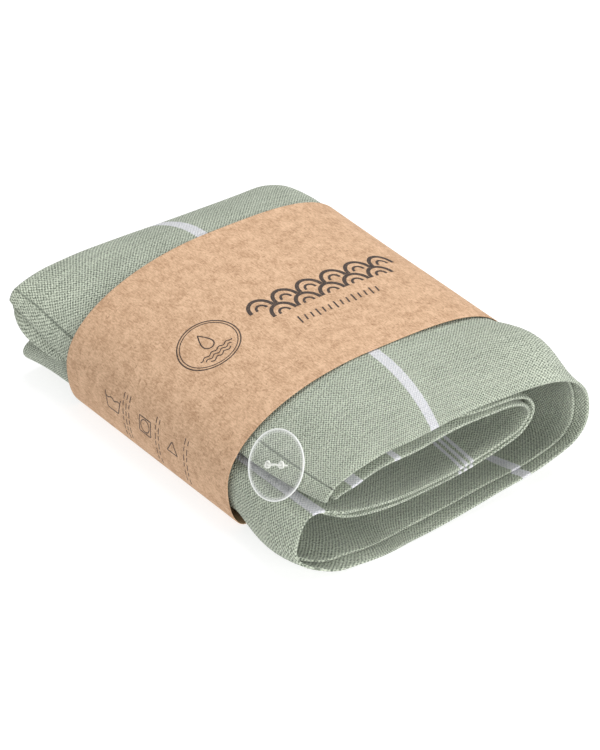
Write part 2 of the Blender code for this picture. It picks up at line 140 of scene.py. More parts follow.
def smooth_line(knots: np.ndarray, marks: np.ndarray, count: int) -> np.ndarray:
    """Cubic Hermite curve through knots, with each tangent the central slope of its neighbours.

    Args:
        knots: Points, one a row.
        marks: The curve parameter at each knot.
        count: Number of points to return, at equal steps of the parameter.

    Returns:
        Points on the curve.
    """
    slopes = np.gradient(knots, marks, axis=0)
    places = np.linspace(marks[0], marks[-1], count)
    piece = np.clip(np.searchsorted(marks, places, side="right") - 1, 0, len(marks) - 2)
    length = np.diff(marks)[piece][:, None]
    t = (places[:, None] - marks[piece][:, None]) / length
    return (
        (2 * t**3 - 3 * t**2 + 1) * knots[piece]
        + (t**3 - 2 * t**2 + t) * length * slopes[piece]
        + (3 * t**2 - 2 * t**3) * knots[piece + 1]
        + (t**3 - t**2) * length * slopes[piece + 1]
    )


def relax(line: np.ndarray, rounds: int) -> np.ndarray:
    """Soften a line: each point moves to a quarter, a half and a quarter of itself and its neighbours."""
    line = line.copy()
    for _ in range(rounds):
        line[1:-1] = 0.25 * line[:-2] + 0.5 * line[1:-1] + 0.25 * line[2:]
    return line


def grid_faces(rows: int, columns: int, start: int = 0) -> np.ndarray:
    """Quads of a grid whose vertices run row by row, with each row's last vertex joined to its first.

    Args:
        rows: Number of rows.
        columns: Vertices in a row.
        start: Number of the grid's first vertex.

    Returns:
        Four vertex numbers a row.
    """
    row = start + np.arange(rows - 1)[:, None] * columns
    column = np.arange(columns)[None, :]
    following = (column + 1) % columns
    quads = (row + column, row + following, row + columns + following, row + columns + column)
    return np.stack(quads, axis=-1).reshape(-1, 4)


def mesh_object(
    name: str,
    points: np.ndarray,
    faces: list[list[int]],
    material: bpy.types.Material,
    uv: np.ndarray | None = None,
    values: dict[str, np.ndarray] | None = None,
) -> bpy.types.Object:
    """Put points and faces into a new smooth-shaded object, with its faces turned outwards.

    The signed volume is a sixth of the sum, over the triangles, of each one's triple product. Where it is
    negative the faces point inwards, and are flipped.

    Args:
        name: Name of the object and its mesh.
        points: Vertices, one a row.
        faces: Vertex numbers of each face.
        material: Its finish.
        uv: Texture place of each vertex, in metres on the flat sheet.
        values: Named numbers for each vertex.

    Returns:
        The new object, linked to the scene.
    """
    mesh = bpy.data.meshes.new(name)
    mesh.from_pydata(points.reshape(-1, 3).tolist(), [], faces)
    mesh.calc_loop_triangles()
    corners = np.empty(len(mesh.loop_triangles) * 3, np.int32)
    mesh.loop_triangles.foreach_get("vertices", corners)
    first, second, third = points.reshape(-1, 3)[corners.reshape(-1, 3)].transpose(1, 0, 2)
    if np.sum(first * np.cross(second, third)) < 0:
        mesh.flip_normals()
    if uv is not None:
        owners = np.empty(len(mesh.loops), np.int32)
        mesh.loops.foreach_get("vertex_index", owners)
        layer = mesh.uv_layers.new(name="Flat")
        layer.data.foreach_set("uv", uv.reshape(-1, 2)[owners].astype(np.float32).ravel())
    for label, numbers in (values or {}).items():
        attribute = mesh.attributes.new(label, "FLOAT", "POINT")
        attribute.data.foreach_set("value", numbers.astype(np.float32).ravel())
    mesh.shade_smooth()
    mesh.set_sharp_from_angle(angle=math.radians(50))
    mesh.materials.append(material)
    made = bpy.data.objects.new(name, mesh)
    bpy.context.scene.collection.objects.link(made)
    return made


def install(made: bpy.types.Object, body: Body, slot: Slot, *nodes: str) -> bpy.types.Object:
    """Let a piece ride on a body, in place of CAD nodes.

    Args:
        made: The piece.
        body: Body that it moves with.
        slot: Not used.
        nodes: CAD nodes that it stands for, if any.

    Returns:
        The same piece.
    """
    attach(made, body.value)
    if nodes:
        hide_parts(*nodes)
    LOG.info("%s: %d vertices on %s", made.name, len(made.data.vertices), body.value)
    return made


class Shells:
    """Closed shells gathered into one mesh."""

    def __init__(self) -> None:
        """Start with no shells."""
        self.points: list[np.ndarray] = []
        self.faces: list[list[int]] = []
        self.count = 0

    def add(self, rings: np.ndarray, looped: bool = False) -> None:
        """Add a shell made of rings of points, with a flat cap on each end or joined end to end.

        Args:
            rings: Points, as rings by points in a ring by 3.
            looped: Whether the last ring joins the first, as on a torus.
        """
        rows, columns, _ = rings.shape
        faces = grid_faces(rows, columns, start=self.count).tolist()
        if looped:
            last = self.count + (rows - 1) * columns
            ring = np.arange(columns)
            ahead = (ring + 1) % columns
            joined = (last + ring, last + ahead, self.count + ahead, self.count + ring)
            faces += np.stack(joined, axis=-1).tolist()
        else:
            faces.append(list(range(self.count, self.count + columns))[::-1])
            faces.append(list(range(self.count + (rows - 1) * columns, self.count + rows * columns)))
        self.points.append(rings.reshape(-1, 3))
        self.faces += faces
        self.count += rows * columns

    def tube(self, line: np.ndarray, radius: float | np.ndarray, sides: int, looped: bool = False) -> None:
        """Add a round tube: a circle of the radius, square to the line, at each of its points.

        Args:
            line: Middle points, one a row.
            radius: One radius, or one for each point.
            sides: Points round the circle.
            looped: Whether the line is closed.
        """
        along = tangents(line, looped)
        guide = np.array((0.31, 0.47, 0.83))
        side = np.cross(along, guide)
        side /= np.linalg.norm(side, axis=1)[:, None]
        up = np.cross(side, along)
        angle = np.linspace(0.0, 2 * math.pi, sides, endpoint=False)[None, :, None]
        circle = np.cos(angle) * side[:, None] + np.sin(angle) * up[:, None]
        reach = np.broadcast_to(np.asarray(radius, float), (len(line),))[:, None, None]
        self.add(line[:, None] + circle * reach, looped)

    def build(self, name: str, material: bpy.types.Material) -> bpy.types.Object:
        """Make one object of all the shells."""
        return mesh_object(name, np.vstack(self.points), self.faces, material)


# ---------------------------------------------------------------------------------------------
# Finishes
# ---------------------------------------------------------------------------------------------


class Signal:
    """A node's output, with arithmetic that adds Math nodes."""

    def __init__(self, graph: "Graph", socket: bpy.types.NodeSocket) -> None:
        """Wrap an output socket of a graph."""
        self.graph = graph
        self.socket = socket

    def math(self, operation: str, *values: "Signal | float") -> "Signal":
        """One Math node on these values."""
        return self.graph.add("ShaderNodeMath", {"operation": operation}, dict(enumerate(values)))

    def __add__(self, other: "Signal | float") -> "Signal":
        """Sum."""
        return self.math("ADD", self, other)

    def __radd__(self, other: float) -> "Signal":
        """Sum with a number in front."""
        return self.math("ADD", other, self)

    def __sub__(self, other: "Signal | float") -> "Signal":
        """Difference."""
        return self.math("SUBTRACT", self, other)

    def __rsub__(self, other: float) -> "Signal":
        """Difference from a number."""
        return self.math("SUBTRACT", other, self)

    def __mul__(self, other: "Signal | float") -> "Signal":
        """Product."""
        return self.math("MULTIPLY", self, other)

    def __rmul__(self, other: float) -> "Signal":
        """Product with a number in front."""
        return self.math("MULTIPLY", other, self)

    def wave(self, length: float) -> "Signal":
        """Cosine of this distance, with a wavelength."""
        return self.math("COSINE", self * (2 * math.pi / length))

    def size(self) -> "Signal":
        """Its value without the sign."""
        return self.math("ABSOLUTE", self)

    def largest(self, other: "Signal") -> "Signal":
        """The larger of two."""
        return self.math("MAXIMUM", self, other)

    def step(self, low: float, high: float) -> "Signal":
        """Smooth step from 0 at low to 1 at high."""
        settings = {"interpolation_type": "SMOOTHSTEP"}
        inputs = {"Value": self, "From Min": low, "From Max": high}
        return self.graph.add("ShaderNodeMapRange", settings, inputs)


class Graph:
    """The nodes of one material, built round its Principled shader."""

    def __init__(self, name: str, **constants: float | tuple[float, ...]) -> None:
        """Make the material.

        Args:
            name: Its name.
            constants: Values for the shader's sockets, with underscores for spaces.
        """
        self.material = bpy.data.materials.new(name)
        self.material.use_nodes = True
        self.tree = self.material.node_tree
        self.shader = self.tree.nodes["Principled BSDF"]
        self.set(**constants)

    def put(self, socket: bpy.types.NodeSocket, value: object) -> None:
        """Link or set one input socket."""
        if isinstance(value, Signal):
            self.tree.links.new(value.socket, socket)
        else:
            socket.default_value = value

    def set(self, **values: object) -> None:
        """Link or set sockets of the shader, named with underscores for spaces."""
        for key, value in values.items():
            self.put(self.shader.inputs[key.replace("_", " ")], value)

    def add(self, kind: str, settings: dict, inputs: dict, output: int | str = 0) -> Signal:
        """Add a node.

        Args:
            kind: Its type.
            settings: Its own settings, which are set first.
            inputs: Values or links for its sockets, by name or number.
            output: The output to return.

        Returns:
            That output.
        """
        node = self.tree.nodes.new(kind)
        for key, value in settings.items():
            setattr(node, key, value)
        for key, value in inputs.items():
            self.put(node.inputs[key], value)
        return Signal(self, node.outputs[output])

    def mix(self, share: Signal | float, first: object, second: object) -> Signal:
        """Mix two colours."""
        return self.add("ShaderNodeMix", {"data_type": "RGBA"}, {0: share, 6: first, 7: second}, 2)

    def noise(self, vector: Signal, scale: float, detail: float = 2.0, rough: float = 0.5) -> Signal:
        """Soft noise about 0.5, on places in metres."""
        inputs = {"Vector": vector, "Scale": scale, "Detail": detail, "Roughness": rough}
        return self.add("ShaderNodeTexNoise", {}, inputs, "Fac")

    def object_place(self) -> Signal:
        """Place on the piece, in metres."""
        return self.add("ShaderNodeTexCoord", {}, {}, "Object")

    def part(self, vector: Signal, axis: str) -> Signal:
        """One number of a vector."""
        return self.add("ShaderNodeSeparateXYZ", {}, {"Vector": vector}, axis)

    def stretched(self, vector: Signal, scale: tuple[float, float, float]) -> Signal:
        """A place stretched by a scale."""
        return self.add("ShaderNodeMapping", {}, {"Vector": vector, "Scale": scale})

    def bump(self, height: Signal, distance: float, strength: float) -> Signal:
        """Normal tilted by a height."""
        inputs = {"Height": height, "Distance": distance, "Strength": strength}
        return self.add("ShaderNodeBump", {}, inputs, "Normal")


def rgb(red: float, green: float, blue: float) -> tuple[float, float, float, float]:
    """A linear colour with full alpha."""
    return (red, green, blue, 1.0)


@dataclass(frozen=True)
class Stripe:
    """A white stripe woven across the cloth: bands of white thread, one beside the other."""

    place: float
    width: float
    bands: int = 1
    space: float = 0.0


@dataclass(frozen=True)
class CottonFinish:
    """Sage green cotton woven in small staggered cells, with white stripes, painted shade in the cells' pits
    and a painted shade line along each seam.
    """

    light: tuple = rgb(0.735, 0.80, 0.652)
    # dark and white_dark are painted shade for the low points of the weave, and light and white are for its
    # raised points.
    dark: tuple = rgb(0.083, 0.108, 0.072)
    # Painted shade: a dark colour for the line down each seam, where the stitches pull the cloth into a
    # groove.
    painted_seam_shade: tuple = rgb(0.06, 0.072, 0.052)
    white: tuple = rgb(0.94, 0.945, 0.96)
    white_dark: tuple = rgb(0.60, 0.61, 0.66)
    cell: float = 1.45 * MM
    thread: float = 0.48 * MM
    stripes: tuple[Stripe, ...] = ()
    seam: float = 8.4 * MM

    def build(self) -> bpy.types.Material:
        """Cells are a product of two cosines: raised where both agree, and a pit where they differ, which is
        coloured with painted shade.
        """
        graph = Graph("green_pique", Roughness=0.93, Sheen_Weight=0.25, Sheen_Roughness=0.5)
        graph.set(Specular_IOR_Level=0.2)
        flat = graph.add("ShaderNodeUVMap", {"uv_map": "Flat"}, {})
        along = graph.part(flat, "X")
        across = graph.part(flat, "Y")
        uneven = graph.noise(flat, 900.0, 1.0) - 0.5
        wander = uneven * (0.5 * MM)
        cells = (along + wander).wave(self.cell) * (across + wander).wave(self.cell * 1.1)
        threads = (along + across * 0.6).wave(self.thread)
        grain = graph.noise(flat, 1500.0, 2.0) - 0.5
        slubs = graph.noise(graph.stretched(flat, (60.0, 900.0, 1.0)), 1.0, 2.0) - 0.5
        height = 0.5 + cells * 0.32 + threads * 0.14 + grain * 1.25
        tone = (height + slubs * 0.35).step(0.04, 0.88)
        mottle = graph.noise(flat, 45.0, 3.0) - 0.5
        # Painted shade: the low points of the cells take the dark green. The mottle and slubs are the
        # cloth's own uneven tone.
        green = graph.mix(tone + mottle * 0.22, self.dark, self.light)
        jagged = along + uneven * (0.9 * MM) + cells * (0.12 * MM)
        mask = None
        for stripe in self.stripes:
            band = (stripe.width - stripe.space * (stripe.bands - 1)) / stripe.bands
            for number in range(stripe.bands):
                middle = stripe.place - stripe.width / 2 + band / 2 + number * (band + stripe.space)
                inside = 1 - (jagged - middle).size().step(band / 2 - 0.2 * MM, band / 2 + 0.2 * MM)
                mask = inside if mask is None else mask.largest(inside)
        # The white stripes get the same painted shade in their pits.
        white = graph.mix(tone, self.white_dark, self.white)
        # Painted shade along the seam's groove: the cloth goes three quarters of the way to the painted seam
        # shade there.
        seam = 1 - (along - self.seam).size().step(0.15 * MM, 0.55 * MM)
        graph.set(Base_Color=graph.mix(seam * 0.75, graph.mix(mask, green, white), self.painted_seam_shade))
        graph.set(Normal=graph.bump(height, 0.62 * MM, 0.95))
        return graph.material


@dataclass(frozen=True)
class ThreadFinish:
    """Twisted sewing thread in the cloth's green, a little darker."""

    light: tuple = rgb(0.34, 0.385, 0.305)
    dark: tuple = rgb(0.11, 0.13, 0.10)
    twist: float = 0.7 * MM

    def build(self) -> bpy.types.Material:
        """The twist is a cosine of a slanted distance along the thread."""
        graph = Graph("green_thread", Roughness=0.7, Sheen_Weight=0.2)
        place = graph.object_place()
        east = graph.part(place, "X")
        up = graph.part(place, "Z")
        strands = (east + up * 1.3).wave(self.twist) * 0.5 + 0.5
        fuzz = graph.noise(place, 2500.0)
        graph.set(Base_Color=graph.mix(strands * 0.7 + fuzz * 0.4, self.dark, self.light))
        graph.set(Normal=graph.bump(strands, 0.1 * MM, 0.6))
        return graph.material


@dataclass(frozen=True)
class KraftFinish:
    """Uncoated brown paper: soft mottling, long fibres, and small pale and dark flecks."""

    base: tuple = rgb(0.585, 0.362, 0.212)
    pale: tuple = rgb(0.77, 0.532, 0.357)
    deep: tuple = rgb(0.32, 0.18, 0.098)

    def build(self) -> bpy.types.Material:
        """Fibres are noise stretched along the roll; flecks are where fine noise passes a limit."""
        graph = Graph("kraft_paper_brown", Roughness=0.86, Specular_IOR_Level=0.25)
        place = graph.object_place()
        fibres = graph.noise(graph.stretched(place, (0.35, 1.0, 1.0)), 1500.0, 3.0, 0.6)
        patches = graph.noise(place, 170.0, 4.0, 0.6)
        fine = graph.noise(place, 2600.0, 2.0, 0.6)
        flecks = graph.noise(graph.stretched(place, (1.0, 0.45, 0.45)), 950.0, 1.0).step(0.66, 0.74)
        pale_flecks = graph.noise(graph.stretched(place, (0.5, 1.0, 1.0)), 700.0, 1.0).step(0.65, 0.75)
        tone = graph.mix(patches * 1.35 + fibres * 2.0 + fine * 1.3 - 1.72, self.deep, self.pale)
        body = graph.mix(0.72, self.base, tone)
        marked = graph.mix(flecks * 0.6, body, self.deep)
        graph.set(Base_Color=graph.mix(pale_flecks * 0.45, marked, self.pale))
        graph.set(Roughness=0.8 + fibres * 0.12)
        graph.set(Normal=graph.bump(fibres + fine * 0.6, 0.12 * MM, 0.35))
        return graph.material


@dataclass(frozen=True)
class InkFinish:
    """Dark brown ink that the paper's fibres show through."""

    ink: tuple = rgb(0.036, 0.023, 0.018)
    worn: tuple = rgb(0.16, 0.095, 0.06)

    def build(self) -> bpy.types.Material:
        """Worn specks are where fine noise passes a limit."""
        graph = Graph("brown_ink", Roughness=0.6)
        place = graph.object_place()
        specks = graph.noise(place, 1800.0, 2.0).step(0.5, 0.72)
        graph.set(Base_Color=graph.mix(specks, self.ink, self.worn))
        graph.set(Normal=graph.bump(specks, 0.05 * MM, 0.3))
        return graph.material


@dataclass(frozen=True)
class GlueFinish:
    """Dried glue: hazy, with small bubbles."""

    clear: tuple = rgb(0.80, 0.76, 0.62)
    hazy: tuple = rgb(0.62, 0.55, 0.40)

    def build(self) -> bpy.types.Material:
        """Bubbles and streaks come from two scales of noise."""
        graph = Graph("dried_glue", Roughness=0.35)
        place = graph.object_place()
        streaks = graph.noise(graph.stretched(place, (0.3, 1.0, 1.0)), 500.0)
        bubbles = graph.noise(place, 2200.0, 1.0).step(0.55, 0.75)
        graph.set(Base_Color=graph.mix(streaks, self.clear, self.hazy))
        graph.set(Roughness=0.25 + streaks * 0.3)
        graph.set(Normal=graph.bump(bubbles, 0.1 * MM, 0.4))
        return graph.material


@dataclass(frozen=True)
class FilmFinish:
    """Clear plastic film, hazy and bright at its cut edge."""

    tint: tuple = rgb(0.90, 0.915, 0.90)
    haze: float = 0.035
    edge: float = 0.80

    def build(self) -> bpy.types.Material:
        """Alpha runs from the haze to the edge's value with the piece's own rim attribute."""
        graph = Graph("clear_disc_film", Base_Color=self.tint, Roughness=0.12, IOR=1.49, Coat_Weight=0.25)
        rim = graph.add("ShaderNodeAttribute", {"attribute_name": "rim"}, {}, "Fac")
        place = graph.object_place()
        smears = graph.noise(place, 160.0, 3.0) - 0.4
        scratches = graph.noise(graph.stretched(place, (2.0, 0.2, 0.2)), 1400.0, 1.0).step(0.62, 0.72)
        graph.set(Alpha=self.haze + rim * (self.edge - self.haze) + smears * 0.07 + scratches * 0.05)
        graph.set(Roughness=0.10 + smears * 0.15)
        graph.set(Normal=graph.bump(smears, 0.2 * MM, 0.15))
        graph.material.surface_render_method = "BLENDED"
        return graph.material


@dataclass(frozen=True)
class NylonFinish:
    """Clear moulded nylon, milky where it is thick."""

    tint: tuple = rgb(0.93, 0.94, 0.89)
    milky: tuple = rgb(0.80, 0.82, 0.76)

    def build(self) -> bpy.types.Material:
        """Milkiness is soft noise on the piece."""
        graph = Graph("milky_nylon", Roughness=0.28, IOR=1.53, Coat_Weight=0.3)
        place = graph.object_place()
        patches = graph.noise(place, 900.0, 2.0)
        graph.set(Base_Color=graph.mix(patches, self.tint, self.milky))
        graph.set(Alpha=0.78 + patches * 0.2)
        graph.set(Normal=graph.bump(patches, 0.1 * MM, 0.2))
        return graph.material


@dataclass(frozen=True)
class FloorFinish:
    """Plain white sweep with the faintest unevenness."""

    white: tuple = rgb(0.36, 0.36, 0.36)
    off_white: tuple = rgb(0.33, 0.33, 0.33)

    def build(self) -> bpy.types.Material:
        """The sweep glows a little, as if lit from around, so that shadows on it stay pale."""
        graph = Graph("white_sweep", Roughness=0.9, Emission_Strength=0.76)
        graph.set(Emission_Color=rgb(1.0, 1.0, 1.0))
        patches = graph.noise(graph.object_place(), 3.0)
        graph.set(Base_Color=graph.mix(patches, self.white, self.off_white))
        return graph.material


# ---------------------------------------------------------------------------------------------
# Cloth
# ---------------------------------------------------------------------------------------------

# Middle line between the plies as (across, up) in millimetres, from the flap's end inwards, in three
# places along the roll. Under the sleeve it is pressed into the sleeve's shape, and at both ends it relaxes.
# The first point leads on past the flap's end, which slips towards it near the back.
UNDER_SLEEVE = (
    (-71.2, 21), (-65.2, 34.8), (-60.5, 40.2), (-50.4, 46.4), (-35, 52.4), (-15, 56.7), (5, 57.6),
    (25, 57.2), (42, 55.2), (56, 52.3), (64.5, 47.8), (70.3, 37), (71.6, 24), (69, 14), (62, 6.5),
    (50, 4), (20, 3.7), (-20, 3.7), (-55, 3.7), (-65, 6), (-69, 12), (-70, 20), (-68, 27), (-63, 29.5),
    (-56, 28.6), (-45, 26), (-25, 23.5), (0, 22.8), (20, 24.2), (33, 27.8), (41.5, 33), (44.4, 38),
    (42, 44), (34, 48.5), (20, 51.5), (0, 52), (-20, 50), (-36, 46.5), (-48, 42.4), (-56.5, 38.6),
    (-57.5, 36), (-51, 36.2), (-38, 39), (-20, 42.5), (0, 45), (14, 46), (20, 46),
)
FRONT_END = (
    (-64, 25), (-62, 38.2), (-59.5, 42.5), (-51, 46.6), (-36, 49.4), (-20, 49.8), (-4, 51.6), (12, 52),
    (30, 51.5), (44, 50.6), (56, 48.6), (67, 44), (73.8, 35.3), (74, 24), (68.3, 16.4), (55, 11),
    (24, 6), (-15, 2.4), (-44, 1.9), (-60, 4.2), (-69.6, 10.6), (-70.2, 20), (-67.3, 26.8), (-62, 29.8),
    (-54.5, 28), (-44, 25.8), (-24, 23), (-4, 23.8), (15, 26.2), (31, 29.2), (40.5, 32.8), (44.6, 38.2),
    (43, 43.6), (36, 47.3), (22, 48), (1, 47.6), (-17, 46), (-34, 45.3), (-47, 42), (-56, 38.6),
    (-57.5, 36.4), (-50, 37), (-36, 40.5), (-18, 42), (0, 43.6), (14, 44), (20, 43.8),
)
BACK_END = (
    (-79, 25), (-78, 38.5), (-76.3, 42.6), (-67, 46.4), (-50, 47.6), (-22, 47), (0, 46), (24, 45.4),
    (42, 44.8), (56, 44.3), (66, 41), (71.3, 34), (71.5, 25), (67.8, 14), (61, 7), (50, 4.4), (20, 3.7),
    (-20, 3.7), (-52, 3.7), (-62, 4.2), (-69, 6.8), (-72, 10.5), (-68, 13.4), (-61, 14.2), (-54, 14.6),
    (-44, 15.5), (-25, 17), (0, 19.5), (20, 21), (33, 24), (42, 28.5), (45, 33), (42, 37.6), (34, 40),
    (20, 40.6), (0, 41), (-20, 41.5), (-38, 41), (-52, 39.5), (-60, 36.5), (-60.5, 33.5), (-54, 33.5),
    (-38, 35.5), (-20, 37), (0, 37), (14, 36.6), (20, 36.2),
)


@dataclass
class FoldPath:
    """The roll's middle line at every place along it, blended from its three outlines."""

    front: float
    back: float
    sleeve_front: float
    sleeve_back: float
    samples: int = 1500
    softening: int = 14
    longest_step: float = 2.7 * MM
    largest_turn: float = math.radians(10.0)
    spring: tuple[float, float] = (-2.5 * MM, -9.5 * MM)
    spring_reach: float = 50.0 * MM
    ripple: float = 0.30 * MM
    shoulder: float = 6.5 * MM
    shoulder_reach: float = 17.0 * MM
    corner: float = 4.5 * MM
    corner_reach: float = 9.0 * MM
    slip: float = 14.5 * MM
    slip_reach: float = 120.0 * MM
    crest_drop: float = 6.5 * MM
    crest_reach: float = 15.0 * MM

    def __post_init__(self) -> None:
        """Work out the three lines, their slopes and the distance along the cloth."""
        outlines = [np.array(knots, float) * MM for knots in (UNDER_SLEEVE, FRONT_END, BACK_END)]
        marks = run_along(outlines[0])
        lines = [relax(smooth_line(knots, marks, self.samples), self.softening) for knots in outlines]
        line_marks = np.linspace(0, marks[-1], self.samples)
        run = run_along(lines[0])
        knot_runs = np.interp(marks, line_marks, run)
        self.run = run - knot_runs[Knot.FLAP_END]
        self.knot_runs = knot_runs - knot_runs[Knot.FLAP_END]
        slopes = [np.gradient(line, self.run, axis=0) for line in lines]
        self.table = np.column_stack(lines + slopes)

    @property
    def length(self) -> float:
        """Length of the cloth along the roll."""
        return float(self.run[-1])

    def stations(self, marks: np.ndarray) -> np.ndarray:
        """Distances for the grid's rows: equal shares of length plus turning, and the given marks."""
        turns = np.linalg.norm(np.diff(tangents(self.table[:, :2]), axis=0), axis=1)
        effort = np.concatenate(([0.0], np.cumsum(
            np.diff(self.run) / self.longest_step + turns / self.largest_turn)))
        start = np.interp(0.0, self.run, effort)
        places = np.interp(np.linspace(start, effort[-1], int(effort[-1] - start) + 1), effort, self.run)
        clear = np.min(np.abs(places[:, None] - marks[None, :]), axis=1) > 0.35 * MM
        return np.sort(np.concatenate((places[clear], marks)))

    def front_share(self, x: np.ndarray) -> np.ndarray:
        """How far the cloth has relaxed into its front outline: the square of the way from the sleeve."""
        return np.clip((x - self.sleeve_front) / (self.front - self.sleeve_front), 0, 1) ** 2

    def back_share(self, x: np.ndarray) -> np.ndarray:
        """The same towards the back end."""
        return np.clip((self.sleeve_back - x) / (self.sleeve_back - self.back), 0, 1) ** 2

    def slipped(self, x: np.ndarray) -> np.ndarray:
        """Share of the flap's slip: it grows towards the sleeve's back edge, and fades again behind it."""
        return (1 - ease(x, self.sleeve_back, 0.02)) * (1 - self.back_share(x))

    def ripples(self, run: np.ndarray, x: np.ndarray) -> np.ndarray:
        """Gentle waves in the cloth: three crossed sines, a third as strong under the sleeve."""
        free = 0.3 + 0.7 * np.maximum(self.front_share(x), self.back_share(x)) ** 0.5
        waves = (
            np.sin(run / 0.0113 + x / 0.031)
            + 0.8 * np.sin(run / 0.0191 - x / 0.0148 + 1.3)
            + 0.5 * np.sin(run / 0.0067 + x / 0.0121 + 4.0)
        )
        return self.ripple * free * waves / 1.6

    def bulge(self, run: np.ndarray, x: np.ndarray) -> np.ndarray:
        """Fullness of two corners in front of the sleeve: a bell along the cloth, a sine along x."""
        way = np.clip((x - self.sleeve_front) / (self.front - self.sleeve_front), 0, 1)
        from_shoulder = (run - self.knot_runs[Knot.SHOULDER]) / self.shoulder_reach
        from_corner = (run - self.knot_runs[Knot.LEFT_CORNER]) / self.corner_reach
        full = self.shoulder * np.exp(-(from_shoulder**2)) + self.corner * np.exp(-(from_corner**2))
        return full * np.sin(math.pi * way**1.1)

    def place(self, run: np.ndarray, x: np.ndarray, height: np.ndarray, sprung: np.ndarray) -> np.ndarray:
        """Points at a height off the middle line, square to it.

        Args:
            run: Distances from the flap's end, one for each row.
            x: Places along the roll, as rows by columns.
            height: Heights towards the outer ply's side, as rows by columns.
            sprung: Share of the flap's spring, as rows by columns.

        Returns:
            Points, as rows by columns by 3.
        """
        slipped = self.slipped(x)
        start = np.clip(1 - run / self.slip_reach, 0, 1)[:, None] ** 2
        source = run[:, None] - self.slip * slipped * start
        rows = np.stack([np.interp(source, self.run, column) for column in self.table.T], axis=-1)
        shares = [self.front_share(x)[..., None], self.back_share(x)[..., None]]
        weights = [1 - shares[0] - shares[1], *shares]
        middle = sum(w * rows[..., 2 * k:2 * k + 2] for k, w in enumerate(weights))
        slope = sum(w * rows[..., 6 + 2 * k:8 + 2 * k] for k, w in enumerate(weights))
        slope = slope / np.linalg.norm(slope, axis=-1, keepdims=True)
        crest = np.exp(-((run - self.knot_runs[Knot.LEFT_CREST]) / self.crest_reach) ** 2)[:, None]
        middle[..., 1] -= self.crest_drop * crest * slipped
        outward = np.stack((-slope[..., 1], slope[..., 0]), axis=-1)
        lift = height + self.ripples(run[:, None], x) + self.bulge(run[:, None], x)
        fade = np.clip(1 - run / self.spring_reach, 0, 1)[:, None, None] ** 2
        flat = middle + outward * lift[..., None] + sprung[..., None] * fade * np.array(self.spring)
        return np.concatenate((x[..., None], flat), axis=-1)


